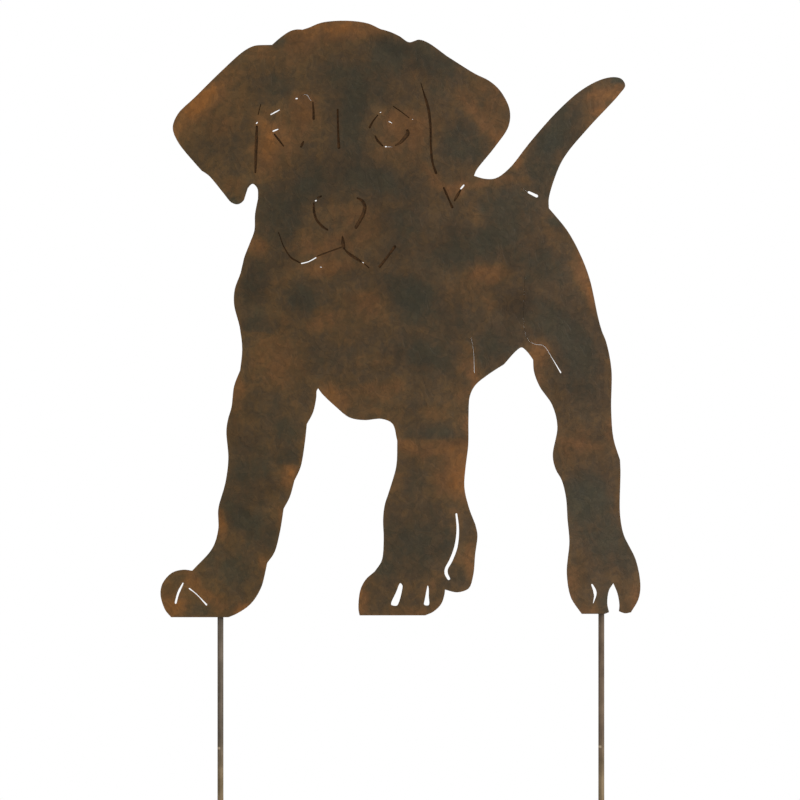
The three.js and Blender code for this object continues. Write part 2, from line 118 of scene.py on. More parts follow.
# Where the patina is rustier (+) or darker (-) than its common tone: the patch's middle (across, up), its
# half lengths (across, up), its turn in degrees and its strength.
PATCHES = {
    # The top of the head.
    "crown": ((-130, 981), (82, 17), 0, 0.42),
    "crown, brightest": ((-126, 984), (20, 10), 0, 0.18),
    "crown, left shoulder": ((-190, 953), (24, 20), 0, 0.22),
    "crown, under the rust": ((-150, 944), (30, 16), 30, 0.14),
    "crown, right": ((-64, 962), (16, 12), 0, 0.13),
    "crown, left": ((-196, 972), (12, 10), 0, 0.14),
    "crown, rim right of the nick": ((-196, 975), (18, 9), -25, -0.24),
    "nick beside the left ear root": ((-222, 965), (9, 11), 0, -0.38),
    "left temple": ((-228, 884), (18, 22), 10, -0.17),
    "left temple, upper": ((-232, 920), (34, 10), 10, 0.1),
    "forehead": ((-95, 892), (46, 34), 0, -0.22),
    "forehead, down to the nose": ((-101, 822), (20, 50), 0, -0.22),
    "forehead, left": ((-112, 874), (22, 16), 0, 0.14),
    "right crown": ((-40, 948), (36, 24), -35, -0.3),
    "right temple": ((-2, 902), (20, 16), 0, 0.05),
    "right temple, dark": ((42, 888), (20, 20), 0, -0.13),
    # The left ear and eye.
    "left ear root": ((-245, 944), (24, 14), 0, 0.22),
    "left ear, upper edge": ((-356, 856), (64, 17), 42, 0.45),
    "left ear, brightest": ((-352, 862), (34, 7), 40, 0.2),
    "left ear, hem": ((-302, 724), (18, 12), 0, 0.18),
    "left ear, lowest tip": ((-292, 690), (14, 8), 0, -0.3),
    "left ear, inner half": ((-306, 838), (44, 30), 40, 0.16),
    "left ear, beside the line": ((-266, 785), (9, 26), 0, 0.12),
    "left ear, tip rust": ((-366, 808), (16, 14), 0, 0.1),
    "left eye, beside the ear": ((-246, 800), (16, 40), 0, 0.36),
    "left eye, socket": ((-216, 795), (34, 28), 20, 0.25),
    "left eye, below": ((-244, 750), (24, 20), 0, 0.14),
    "left eye, brow": ((-184, 852), (32, 22), 15, 0.2),
    "left eye, under the brow": ((-165, 825), (30, 24), 0, 0.12),
    "left eye, outer corner": ((-262, 806), (12, 12), 0, -0.14),
    # The right eye and ear.
    "right ear root": ((35, 936), (52, 24), -25, -0.22),
    "right eye": ((0, 806), (48, 44), -10, 0.2),
    "right eye, socket": ((0, 814), (34, 22), 0, 0.14),
    "right ear, middle": ((72, 786), (42, 30), 0, -0.24),
    "right ear, outer half": ((125, 862), (34, 46), 30, 0.17),
    "right ear, band": ((116, 833), (50, 11), -47, 0.18),
    "right ear, band's low end": ((147, 800), (10, 10), 0, 0.2),
    "right ear, dark spot": ((114, 872), (14, 14), 0, -0.12),
    "under the right ear": ((46, 728), (34, 11), -45, 0.26),
    "under the right ear, low end": ((72, 712), (16, 12), 0, 0.2),
    "cheek's right rim": ((108, 678), (10, 24), 15, 0.22),
    # The nose, the muzzle and the cheeks.
    "nose bridge, left": ((-172, 722), (24, 26), 30, -0.24),
    "nose bridge, right": ((-62, 730), (52, 20), -15, -0.24),
    "nose bridge, dark spot": ((-130, 722), (16, 18), 0, -0.12),
    "left cheek": ((-218, 672), (36, 36), 0, -0.18),
    "right cheek": ((-16, 664), (26, 24), 0, -0.16),
    "right cheek, brown": ((58, 768), (14, 30), 25, 0.12),
    "muzzle, right half": ((-84, 655), (42, 32), 0, 0.22),
    "muzzle, left half": ((-150, 617), (36, 17), 0, 0.31),
    "muzzle, left of the nose": ((-182, 640), (16, 16), 0, 0.12),
    "nose": ((-125, 684), (36, 18), 0, 0.06),
    "chin": ((-138, 583), (48, 11), 4, 0.3),
    "left cheek's rim": ((-258, 622), (16, 15), 0, 0.3),
    "right corner of the mouth": ((-28, 622), (18, 14), 0, -0.13),
    # The tail and the back.
    "back, upper rim": ((140, 726), (46, 9), 5, 0.2),
    "back": ((168, 692), (60, 18), 0, -0.14),
    "back, beside the tail": ((170, 714), (26, 12), 0, -0.14),
    "tail root, rim": ((181, 757), (9, 11), 0, 0.22),
    "tail, tip": ((326, 874), (32, 12), 8, 0.4),
    "tail, under the tip": ((316, 846), (14, 11), 0, 0.3),
    "tail, end": ((350, 899), (12, 7), 0, -0.6),
    "tail, middle": ((243, 806), (44, 20), 45, -0.36),
    "tail, root": ((222, 748), (20, 34), 0, -0.22),
    "tail, lower middle": ((212, 768), (16, 26), 35, 0.14),
    "tail, upper middle": ((268, 818), (24, 9), 42, 0.1),
    "tail, upper rim": ((262, 856), (40, 7), 42, -0.14),
    "tail, lower rim": ((270, 785), (34, 7), 45, -0.14),
    "rump": ((240, 664), (12, 9), 0, -0.26),
    # The neck, the shoulders and the chest.
    "left shoulder": ((-262, 545), (26, 44), 0, -0.12),
    "left shoulder, under the belt": ((-232, 492), (24, 14), 0, 0.08),
    "throat, left": ((-192, 536), (34, 22), 0, -0.2),
    "throat, left brown": ((-214, 562), (12, 9), 0, 0.16),
    "throat, right brown": ((-20, 576), (30, 9), 0, 0.12),
    "throat, left spot": ((-198, 556), (10, 14), 0, 0.12),
    "chest, right": ((-78, 530), (36, 18), 10, 0.2),
    "chest, left": ((-148, 494), (26, 17), 20, 0.2),
    "chest": ((-95, 490), (60, 34), 0, 0.1),
    "chest, dark belt": ((-125, 440), (44, 16), -10, -0.1),
    "chest, low brown": ((-72, 428), (34, 12), 0, 0.12),
    "chest, beside the leg": ((26, 462), (20, 12), -30, 0.14),
    "chest, middle brown": ((-58, 512), (24, 18), 0, 0.13),
    "chest, upper rust": ((-100, 520), (36, 10), 0, -0.1),
    "chest, low tip": ((-130, 396), (26, 10), 0, 0.1),
    "right shoulder": ((4, 535), (46, 27), -35, -0.3),
    "right shoulder, below": ((-5, 500), (24, 24), 0, -0.1),
    "breast tip": ((-124, 366), (26, 15), -30, 0.33),
    "breast": ((-50, 378), (46, 17), 5, 0.2),
    "breast, low rim": ((-66, 345), (18, 9), 0, 0.16),
    "left neck": ((-232, 528), (24, 26), 0, 0.2),
    # The flank and the belly.
    "flank, dark": ((95, 612), (62, 24), 20, -0.22),
    "flank, upper dark": ((150, 655), (46, 34), 0, -0.16),
    "flank, rust": ((132, 573), (32, 12), 5, 0.28),
    "flank, brown": ((95, 548), (52, 26), 15, 0.14),
    "flank, low brown": ((134, 520), (14, 15), 0, 0.12),
    "flank, low dark": ((74, 488), (30, 16), 0, -0.13),
    "flank, middle dark": ((132, 555), (20, 14), -40, -0.1),
    "flank, brown under the ear": ((112, 662), (22, 22), 0, 0.1),
    "flank, dark under the ear": ((114, 682), (12, 12), 0, -0.12),
    "belly, dark": ((142, 450), (36, 30), 0, -0.22),
    "belly, beside the leg": ((92, 394), (12, 10), 0, -0.18),
    "belly, dark spot": ((110, 430), (12, 12), 0, -0.18),
    "belly rim": ((97, 418), (15, 34), 10, 0.22),
    "belly rim, brightest": ((104, 394), (8, 12), 0, 0.22),
    # The haunch, the hip and the thigh.
    "haunch, dark": ((222, 585), (38, 26), 10, -0.2),
    "haunch, upper brown": ((236, 645), (26, 14), -30, 0.1),
    "haunch, outer rust": ((290, 566), (14, 42), 14, 0.3),
    "haunch, brightest": ((299, 537), (7, 24), 10, 0.26),
    "haunch, upper rim": ((256, 636), (14, 22), 25, -0.14),
    "haunch, upper rust": ((262, 584), (12, 14), 0, 0.13),
    "haunch, dark rim": ((286, 545), (12, 22), 10, -0.14),
    "haunch, middle dark": ((258, 540), (16, 30), 0, -0.08),
    "haunch, above the rust": ((170, 596), (16, 14), 0, -0.1),
    "haunch, outer middle": ((276, 560), (10, 16), 0, 0.1),
    "hip": ((258, 474), (62, 24), -45, -0.28),
    "hip, inner dark": ((192, 482), (22, 20), 0, -0.18),
    "hip, below the line": ((250, 425), (24, 26), 0, -0.14),
    "thigh": ((296, 398), (32, 46), 0, -0.1),
    "thigh, upper": ((280, 388), (20, 20), 0, -0.08),
    "arch": ((216, 436), (14, 22), 20, 0.34),
    "arch, low end": ((222, 392), (8, 20), 20, 0.12),
    # The left front leg.
    "left leg, upper": ((-222, 430), (42, 44), 10, 0.22),
    "left leg, outer rim": ((-292, 378), (12, 26), 10, 0.28),
    "left leg, elbow": ((-206, 315), (22, 16), 0, -0.16),
    "left leg, middle": ((-262, 320), (34, 44), 0, -0.06),
    "left leg, dark": ((-272, 246), (38, 22), 0, -0.2),
    "left leg, low dark": ((-268, 162), (46, 22), -38, -0.26),
    "left leg, inner rust": ((-205, 234), (16, 22), -15, 0.34),
    "left leg, inner brightest": ((-197, 238), (8, 14), -15, 0.2),
    "left leg, outer rust": ((-321, 153), (8, 21), 5, 0.44),
    "left leg, inner low rim": ((-218, 158), (7, 24), 10, 0.14),
    "left leg, front": ((-278, 318), (20, 34), 20, 0.12),
    "left leg, low brown": ((-256, 170), (24, 14), -35, 0.16),
    "left leg, upper front": ((-258, 390), (28, 14), 0, 0.06),
    "left ankle": ((-290, 72), (30, 26), -20, -0.18),
    "left ankle, outer": ((-342, 98), (12, 12), 40, -0.2),
    "left ankle, inner rim": ((-246, 82), (7, 15), 0, 0.24),
    "left paw, top": ((-368, 60), (14, 11), -30, 0.36),
    "left paw, inner toe": ((-346, 38), (18, 11), -40, 0.32),
    "left paw, outer toe": ((-400, 12), (20, 16), 0, 0.42),
    "left paw, rim": ((-410, 42), (9, 16), 0, 0.18),
    "left paw, between the toes": ((-357, 7), (20, 9), 0, -0.18),
    "left paw, sole": ((-318, 18), (18, 14), 0, 0.16),
    "left heel": ((-284, 8), (14, 9), 20, 0.42),
    # The middle leg.
    "middle leg, top dark": ((28, 442), (40, 22), -20, -0.26),
    "middle leg, top brown": ((38, 340), (20, 12), 0, 0.2),
    "middle leg, dark belt": ((38, 309), (46, 10), -6, -0.1),
    "middle leg, under the belt": ((30, 281), (56, 15), 0, 0.26),
    "middle leg, right rim": ((85, 242), (19, 46), 0, 0.44),
    "middle leg, middle brown": ((56, 236), (20, 34), 0, 0.2),
    "middle leg, left of the shin": ((2, 222), (18, 24), 0, -0.06),
    "middle leg, left rust": ((-8, 286), (13, 10), 0, 0.14),
    "middle leg, low dark": ((10, 128), (58, 38), 0, -0.18),
    "middle leg, ankle": ((-46, 80), (16, 18), 0, -0.22),
    "middle leg, upper right": ((78, 368), (20, 22), -40, 0.13),
    "middle leg, top spot": ((32, 405), (14, 10), 0, -0.14),
    "middle leg, beside the slit": ((62, 90), (12, 40), 0, -0.16),
    "middle leg, right of the belt": ((84, 318), (12, 14), 0, 0.12),
    "middle leg, over the belt": ((14, 322), (30, 12), 0, 0.08),
    "middle paw, left rim": ((-82, 32), (7, 26), 0, 0.32),
    "middle paw, sole": ((10, 9), (44, 8), 0, 0.2),
    "heel": ((98, 92), (10, 34), 0, 0.3),
    "heel, upper": ((100, 140), (14, 24), 0, -0.14),
    "heel, low": ((96, 62), (14, 20), 0, -0.12),
    # The hind leg.
    "hind leg, hock": ((282, 286), (36, 30), 0, 0.18),
    "hind leg, hock brightest": ((278, 290), (16, 9), 0, 0.16),
    "hind leg, back rim": ((332, 310), (7, 15), 0, 0.16),
    "hind leg, dark": ((292, 196), (38, 32), 0, -0.34),
    "hind leg, low dark": ((335, 128), (34, 30), -30, -0.24),
    "hind leg, back brown": ((347, 192), (6, 20), 0, 0.12),
    "hind leg, outer rim": ((346, 240), (9, 30), 0, -0.12),
    "hind leg, inner rim": ((266, 150), (9, 50), 0, -0.1),
    "hind leg": ((302, 150), (56, 160), 0, -0.03),
    "hind paw, inner rim": ((274, 55), (14, 26), -15, 0.2),
    "hind paw, inner toe": ((298, 10), (20, 10), 0, 0.16),
    "hind paw, outer toe": ((366, 42), (16, 28), 0, 0.06),
    "hind paw, outer rim": ((376, 28), (8, 18), 0, 0.12),
    "hind paw, middle toe": ((330, 22), (7, 20), 0, -0.28),
    "hind paw, outer slope": ((366, 94), (14, 16), 0, -0.14),
}

# Where the patina is lighter (+) or darker (-) than its tone makes it, in the same form.
SHADES = {
    # The top of the head.
    "forehead": ((-85, 882), (62, 48), 0, -0.16),
    "between the eyes": ((-108, 830), (34, 50), 0, -0.14),
    "right crown": ((-34, 955), (26, 14), -30, -0.16),
    "left temple": ((-250, 882), (36, 24), 0, -0.15),
    "right forehead": ((-14, 918), (22, 16), 0, 0.12),
    "crown, rim right of the nick": ((-192, 966), (20, 14), 0, -0.16),
    # The left ear and eye.
    "left ear, middle": ((-312, 792), (46, 34), 0, -0.12),
    "left ear, upper edge": ((-318, 882), (34, 26), 30, 0.12),
    "left ear, outer end": ((-374, 822), (28, 24), 0, 0.13),
    "left ear, beside the eye": ((-265, 782), (10, 18), 0, 0.16),
    "left ear, rim": ((-378, 848), (26, 14), 45, -0.14),
    "left ear, underside": ((-328, 806), (42, 26), 0, -0.06),
    "left eye": ((-225, 800), (26, 26), 0, 0.1),
    "left eye, inner": ((-180, 842), (18, 40), 0, -0.14),
    "left eye, outer": ((-236, 796), (16, 26), 0, -0.12),
    # The right eye and ear.
    "right ear root": ((8, 930), (46, 22), -30, -0.24),
    "cheek's right rim": ((115, 665), (12, 16), 0, 0.28),
    "beside the right ear": ((30, 832), (12, 44), 8, 0.04),
    "under the right eye": ((44, 738), (14, 34), 25, 0.06),
    "right ear, dark": ((76, 802), (30, 34), 0, -0.1),
    "right ear, light": ((114, 824), (24, 16), -30, 0.18),
    "cheek, beside the light cut": ((82, 738), (12, 12), 0, -0.18),
    "right eye, inner": ((-58, 850), (14, 10), 0, 0.12),
    "right eye, middle": ((-2, 814), (16, 14), 0, -0.12),
    # The nose, the muzzle and the cheeks.
    "nose bridge": ((-128, 748), (78, 34), 0, -0.2),
    "nose bridge, left": ((-158, 704), (32, 22), 0, -0.2),
    "left cheek": ((-212, 668), (32, 62), 0, -0.22),
    "right cheek": ((-24, 700), (56, 56), 0, -0.19),
    "right cheek, light": ((20, 656), (22, 42), 0, 0.12),
    "right of the muzzle": ((-28, 630), (48, 34), 0, -0.15),
    "under the mouth": ((-95, 580), (66, 13), 12, -0.19),
    "left corner of the mouth": ((-206, 588), (16, 14), 0, -0.15),
    "right corner of the mouth": ((-28, 608), (18, 14), 0, -0.13),
    "muzzle, left of the nose": ((-183, 634), (12, 16), 0, 0.08),
    "mouth's corner": ((-110, 626), (14, 12), 0, -0.12),
    # The tail and the back.
    "tail, outer half": ((318, 862), (50, 32), 42, 0.26),
    "tail, lower rim": ((180, 762), (22, 24), 40, 0.13),
    # The neck, the shoulders and the chest.
    "left shoulder": ((-260, 558), (32, 36), 0, -0.28),
    "left shoulder, belt": ((-252, 488), (52, 10), 0, -0.18),
    "throat": ((-190, 520), (34, 32), 0, -0.16),
    "right shoulder": ((-12, 540), (54, 30), -10, -0.24),
    "chest": ((-90, 455), (120, 44), 0, -0.1),
    "chest, low": ((-78, 430), (30, 8), 0, 0.12),
    "chest, beside the leg": ((38, 452), (30, 10), -40, 0.14),
    "chest, middle": ((-50, 524), (16, 14), 0, 0.14),
    "chest, upper": ((-108, 522), (34, 18), 0, -0.14),
    "neck": ((-214, 508), (14, 36), 25, 0.08),
    # The flank and the belly.
    "flank, upper": ((62, 622), (42, 32), 0, -0.18),
    "flank, back": ((180, 520), (28, 26), 0, -0.3),
    "flank, above the rust": ((168, 590), (18, 16), 0, -0.14),
    "flank, low": ((72, 490), (18, 20), 0, -0.16),
    "flank, spot": ((142, 502), (14, 12), 0, 0.16),
    "flank, front": ((58, 526), (28, 18), 0, -0.14),
    "flank, upper back": ((150, 618), (34, 16), 0, -0.1),
    "flank, low back": ((190, 530), (12, 30), 0, -0.12),
    "flank, dark spot": ((140, 556), (14, 12), 0, -0.12),
    "belly": ((150, 452), (46, 34), 0, -0.14),
    "belly, beside the leg": ((84, 396), (14, 12), 0, -0.16),
    "belly rim": ((104, 402), (12, 16), 0, 0.16),
    # The haunch, the hip and the thigh.
    "haunch": ((272, 590), (26, 66), 15, 0.15),
    "haunch, inner light": ((224, 542), (20, 14), 0, 0.16),
    "haunch, rim": ((256, 640), (12, 18), 30, -0.15),
    "haunch, outer": ((288, 556), (14, 24), 0, 0.1),
    "arch": ((190, 444), (18, 9), 0, 0.32),
    "arch, side": ((248, 422), (20, 22), 0, -0.18),
    "thigh, low": ((300, 322), (44, 26), 0, 0.06),
    "thigh, low back": ((322, 300), (20, 16), 0, -0.18),
    "thigh, upper": ((280, 388), (26, 18), 0, -0.15),
    # The left front leg.
    "left leg, middle": ((-282, 300), (28, 30), 0, -0.18),
    "left leg, inner": ((-212, 268), (26, 14), 0, -0.16),
    "left leg, low": ((-285, 185), (30, 30), -30, -0.22),
    "left leg, lowest": ((-246, 140), (26, 26), -40, -0.14),
    "left leg, dark middle": ((-268, 240), (34, 26), 0, -0.16),
    "left leg, light": ((-246, 170), (18, 12), -30, 0.2),
    "left leg, spot": ((-278, 322), (12, 20), 20, 0.14),
    "left leg, inner dark": ((-240, 214), (16, 22), -30, -0.18),
    "left leg, upper": ((-274, 352), (20, 24), 0, -0.12),
    "left leg, beside the gap": ((-216, 240), (20, 14), 0, 0.2),
    "left leg, inner top": ((-176, 408), (12, 14), 0, -0.15),
    "left leg, outer spot": ((-294, 326), (10, 14), 0, -0.16),
    "left paw": ((-385, 34), (34, 44), 0, 0.2),
    "left paw, outer toe": ((-402, 22), (14, 24), 0, -0.2),
    "left paw, inner toe": ((-356, 58), (16, 12), 0, -0.14),
    "left paw, outer sole": ((-388, 16), (14, 10), 0, -0.14),
    "left ankle": ((-322, 62), (28, 30), 0, 0.12),
    "left ankle, light": ((-276, 118), (16, 16), 0, 0.13),
    # The middle leg.
    "middle leg, top": ((20, 428), (64, 20), 0, -0.15),
    "middle leg, under the belt": ((74, 292), (24, 8), 0, -0.3),
    "middle leg, low": ((-8, 120), (36, 50), 0, -0.08),
    "middle leg, right half": ((64, 322), (32, 52), 0, 0.16),
    "middle leg, rim": ((84, 190), (14, 44), 0, 0.16),
    "middle leg, light": ((30, 248), (18, 18), 0, 0.14),
    "middle leg, dark rim": ((72, 228), (16, 14), 0, -0.13),
    "middle leg, left": ((-6, 338), (22, 18), 0, -0.14),
    "middle leg, inner edge": ((-6, 412), (9, 48), 0, 0.14),
    "middle leg, above the slit": ((68, 196), (18, 14), 0, 0.14),
    "middle leg, low right": ((54, 120), (16, 22), 0, -0.12),
    "middle leg, shin": ((46, 178), (16, 16), 0, 0.1),
    "heel": ((97, 100), (14, 50), 0, 0.2),
    "heel, upper": ((102, 136), (12, 26), 0, -0.2),
    # The hind leg.
    "hind leg": ((302, 190), (46, 110), 0, 0.16),
    "hind leg, low": ((332, 118), (20, 20), 0, 0.1),
    "hind paw": ((320, 50), (56, 60), 0, 0.22),
    "hind paw, inner": ((288, 66), (18, 26), 0, -0.16),
    "hind paw, upper": ((292, 84), (18, 20), 0, -0.1),
    "hind paw, outer rim": ((372, 60), (10, 34), 0, 0.16),
    "hock, inner": ((258, 242), (14, 20), 0, 0.13),
    "hock, front": ((264, 275), (12, 20), 0, -0.12),
    "hock, above": ((292, 330), (14, 12), 0, 0.14),
}

# Along a straight wipe mark the patina's tone changes at once: the mark's start and end, how far the change
# reaches on its left-hand side before it has faded out, and its strength.
WIPES = {
    "left shoulder": ((-284, 478), (-222, 470), 34, -0.2),
    "middle leg": ((-22, 296), (92, 297), 26, -0.1),
    "left leg": ((-226, 254), (-186, 252), 20, -0.22),
}

# How far a wipe mark sways, and over what it rises at its two ends and across its line.
WIPE_SWAY = 2
WIPE_ENDS = (-4, 10)
WIPE_RISE = (-1, 1.5)

# The sheen that the surroundings add to the sheet, and how much of its own colour the lights bring out.
SHEEN = 0.013
LIT = 0.9

# The patina's colours as they show on screen, from dark olive to orange rust, each at its tone.
PATINA = (
    (0.00, (64, 60.5, 49.5)),
    (0.12, (66, 60.5, 48.5)),
    (0.21, (67, 60, 48)),
    (0.29, (71, 61, 47.5)),
    (0.38, (75, 62, 47.5)),
    (0.46, (80, 64.5, 47)),
    (0.56, (86, 66.5, 47)),
    (0.67, (93, 69, 48)),
    (0.81, (101, 73, 48.5)),
    (1.00, (114, 78, 48)),
)

# The patina turns from a warm brown at the left ear to a cooler one at the tail and the hind leg: the
# cool end is painted sheen, a grey haze of reflected light painted stronger towards the tail.
LEFT_SHEEN_TINT = (1.02, 1.0, 0.88)
RIGHT_SHEEN_TINT = (0.98, 1.0, 1.17)

# A noise's values crowd around their middle. These are a wide and a narrow band of them.
NOISE_MIDDLE = 0.5
WIDE = (0.3, 0.7)
NARROW = (0.35, 0.65)

# The noises: the size of their blotches, and what else sets each apart from the plain one.
PLAIN_NOISE = dict(detail=3, roughness=0.55, distortion=0, stretch=(1, 1, 1), turn=(0.6, 0.5, 0.7))
NOISES = {
    "cloud": dict(size=16 * MM, detail=4, roughness=0.6, distortion=0.4),
    "mottle": dict(size=4.5 * MM),
    "streak": dict(size=9 * MM, detail=2, stretch=(1.6, 1, 0.35), turn=(0, 0.1, 0)),
    "grain": dict(size=1.1 * MM, detail=2),
    "wash": dict(size=34 * MM, detail=5, roughness=0.8, distortion=0.3),
    "speck": dict(size=4.4 * MM, roughness=0.6, distortion=0.9),
    "island": dict(size=14 * MM, detail=4, roughness=0.5, distortion=1.3, turn=(0.2, 0.9, 0.1)),
    "islet": dict(size=7 * MM, roughness=0.5, distortion=1, turn=(1.1, 0.3, 0.4)),
    "vein": dict(size=13 * MM, detail=2, distortion=2),
    "blush": dict(size=12 * MM),
    "rim": dict(size=22 * MM, detail=2),
    "jet stripe": dict(size=1.2 * MM, detail=1, stretch=(1, 0.08, 1), turn=(0, 0.4, 0)),
    "groove painted shade": dict(size=2.5 * MM, detail=2),
    "weld soot": dict(size=2 * MM, detail=2),
    "stake film": dict(size=18 * MM),
    "stake drawing": dict(size=3 * MM, stretch=(3, 3, 0.12), turn=(0, 0, 0.4)),
    "stake grain": dict(size=0.9 * MM, detail=2),
}

# How the noises change the patina's tone: the band of their values that counts, and the most either way.
TONE_CHANGES = {
    "cloud": (*WIDE, 0.08),
    "mottle": (0.38, 0.62, 0.03),
    "streak": (*WIDE, 0.04),
    "grain": (*WIDE, 0.015),
    "island": (0.48, 0.52, 0.022),
    "islet": (0.47, 0.53, 0.014),
}

# How the noises change the patina's shade, in the same form.
SHADE_CHANGES = {
    "wash": (*WIDE, 0.14),
    "speck": (0.42, 0.58, 0.05),
    "island": (0.48, 0.52, 0.04),
    "islet": (0.47, 0.53, 0.04),
}

# How the noises raise the patina: the band that slopes, and the height.
RELIEF = {
    "island": (0.47, 0.53, 0.12 * MM),
    "islet": (0.46, 0.54, 0.08 * MM),
    "mottle": (0, 1, 0.05 * MM),
    "grain": (0, 1, 0.03 * MM),
}

# Dark veins run where their noise is within this of its middle.
VEIN_HALF = 0.02
VEIN_SHADE = 0.86

# How far the painted sheen's colour blushes at random from its place across the sheet.
BLUSH = 0.16

# How rough the patina is from dark to rusty, how far its grain changes that, and how glossy it is.
ROUGHNESS = (0.5, 0.72)
ROUGH_GRAIN = 0.2
GLOSS = 0.16

# Near its cut edges the sheet is rustier, unevenly so, and lighter. Both fade by this factor each
# millimetre in.
RIM_FADE = 1.2
RIM_RUST = 0.09
RIM_UNEVEN = 0.8
RIM_LIGHT = 0.13

# The tones of the cut edge's own stripes.
EDGE_TONES = (0.25, 0.6)

# Dark and light colours as they show on screen, of the grooves, painted dark as shade, and of the weld
# metal.
GROOVE_SHADE_COLOURS = ((63, 46, 30), (85, 59, 35))
GROOVE_RELIEF = 0.1 * MM
GROOVE_ROUGHNESS = 0.85
GROOVE_GLOSS = 0.1
WELD_COLOURS = ((46, 38, 30), (84, 70, 54))

# The stakes' round bars, and the weld beads beside them that hold the sheet.
STAKES = ("left_stake", "right_stake")
BAR_SIDES = 48
STAKE_CHAMFER = 0.5 * MM
BEAD_HEIGHTS = (7 * MM, 38 * MM)
BEAD_HALF = Vector((1.4 * MM, 2.6 * MM, 4.5 * MM))
BEAD_SIDES = 20
BEAD_RINGS = 28
BEAD_RIPPLES = 5
BEAD_RIPPLE = 0.06
BEAD_SINK = 0.05 * MM

# The stakes' thin brown film, from its darkest to its lightest: the right one is browner. Both turn warmer
# between these heights, on the way down to their feet.
STAKE_FILM = {
    "left_stake": ((82, 73, 61), (112, 99, 85)),
    "right_stake": ((86, 71, 57), (116, 98, 80)),
}
FOOT_FILM = ((100, 85, 61), (134, 115, 88))
FOOT_TURN = (-95 * MM, -130 * MM)

# Painted shadow of the sheet: close under the paw a stake is this much darker, down to this height.
PAINTED_PAW_SHADOW = 0.62
PAINTED_PAW_SHADOW_END = -14 * MM

# How far the marks of the stakes' drawing change their film, and the height of their grain.
DRAWING = 0.15
STAKE_RELIEF = 0.02 * MM

# How metallic the stakes and their beads look under the film, and how glossy and rough.
STAKE_METAL = 0.3
STAKE_GLOSS = 0.25
STAKE_ROUGHNESS = 0.5
STAKE_ROUGH_CHANGE = 0.08
BEAD_ROUGHNESS = 0.55

# Each stake has a bright nick across the left half of its front: how high it is, how far it reaches up and
# down before it fades and has faded, and the same to the right, from the stake's middle.
NICKS = {"left_stake": -106.4 * MM, "right_stake": -105.2 * MM}
NICK_HALF = (0.7 * MM, 1.2 * MM)
NICK_SIDE = (-0.4 * MM, 0.2 * MM)
NICK_COLOUR = (168, 150, 126)

# The camera stands square before the sheet, level with the picture's middle, far off as in a product
# shot. The picture's middle and width are measured on the sheet's plane.
VIEW_MIDDLE = Vector((-8.71 * MM, FRONT, 172.15 * MM))
VIEW_WIDTH = 639.27 * MM
LENS = 150.0
SENSOR = 36.0

# The soft lights: where each stands and how wide it is, in metres, and its power in watts. All face one
# spot, and the surroundings fill in.
LIGHTS = {
    "key": ((2.3, -1.5, 1.2), 1.2, 62),
    "front": ((-0.9, -2.2, 0.7), 1.6, 9),
    "behind": ((-0.6, 1.8, 1.4), 1.2, 14),
}
LIT_SPOT = (0, 0, 0.2)
FILL = 0.55

# The floor, in metres.
FLOOR_RADIUS = 0.42
FLOOR_SIDES = 96
FLOOR_COLOUR = (0.8, 0.8, 0.79, 1)
FLOOR_ROUGHNESS = 0.9


def smoothstep(low, high, value):
    """An even rise from 0 at low to 1 at high."""
    t = np.clip((value - low) / (high - low), 0, 1)
    return t * t * (3 - 2 * t)


def wandering(x, z, length, seed):
    """Smooth noise in two channels, about -1 to 1, at points given in drawing units."""
    out = np.empty((len(x), 2))
    for i in range(len(x)):
        for channel in range(2):
            place = Vector((x[i] / length, z[i] / length, seed + channel * CHANNEL_SEED))
            out[i, channel] = noise.noise(place)
    return out


def patched(patches, x, z, seed):
    """The sum of the patches at points given in drawing units, with borders that wander."""
    wide = wandering(x, z, WANDER_LENGTH, seed)
    fine = wandering(x, z, FINE_LENGTH, seed + FINE_SEED)
    x = x + WANDER * wide[:, 0] + FINE_WANDER * fine[:, 0]
    z = z + WANDER * wide[:, 1] + FINE_WANDER * fine[:, 1]
    total = np.zeros(len(x))
    for (middle_x, middle_z), (half_x, half_z), turn, strength in patches.values():
        angle = math.radians(turn)
        along = (x - middle_x) * math.cos(angle) + (z - middle_z) * math.sin(angle)
        aside = (z - middle_z) * math.cos(angle) - (x - middle_x) * math.sin(angle)
        away = (along / half_x) ** 2 + (aside / half_z) ** 2
        total += strength * np.exp2(-away ** PATCH_FALL)
    return total


def wiped(x, z, seed):
    """The change that the wipe marks bring at points given in drawing units."""
    sway = wandering(x, z, WANDER_LENGTH, seed)
    total = np.zeros(len(x))
    for (x0, z0), (x1, z1), reach, strength in WIPES.values():
        length = math.hypot(x1 - x0, z1 - z0)
        along = ((x - x0) * (x1 - x0) + (z - z0) * (z1 - z0)) / length
        above = ((z - z0) * (x1 - x0) - (x - x0) * (z1 - z0)) / length + WIPE_SWAY * sway[:, 0]
        ends = smoothstep(*WIPE_ENDS, along) * smoothstep(*WIPE_ENDS, length - along)
        fall = np.exp2(-(np.maximum(above, 0) / reach) ** 2)
        total += strength * ends * smoothstep(*WIPE_RISE, above) * fall
    return total


def placed(name, data):
    piece = bpy.data.objects.new(name, data)
    bpy.context.scene.collection.objects.link(piece)
    return piece


def smooth(data):
    """Shades a mesh smoothly, but for its sharp edges."""
    data.shade_smooth()
    data.set_sharp_from_angle(angle=SHARP)


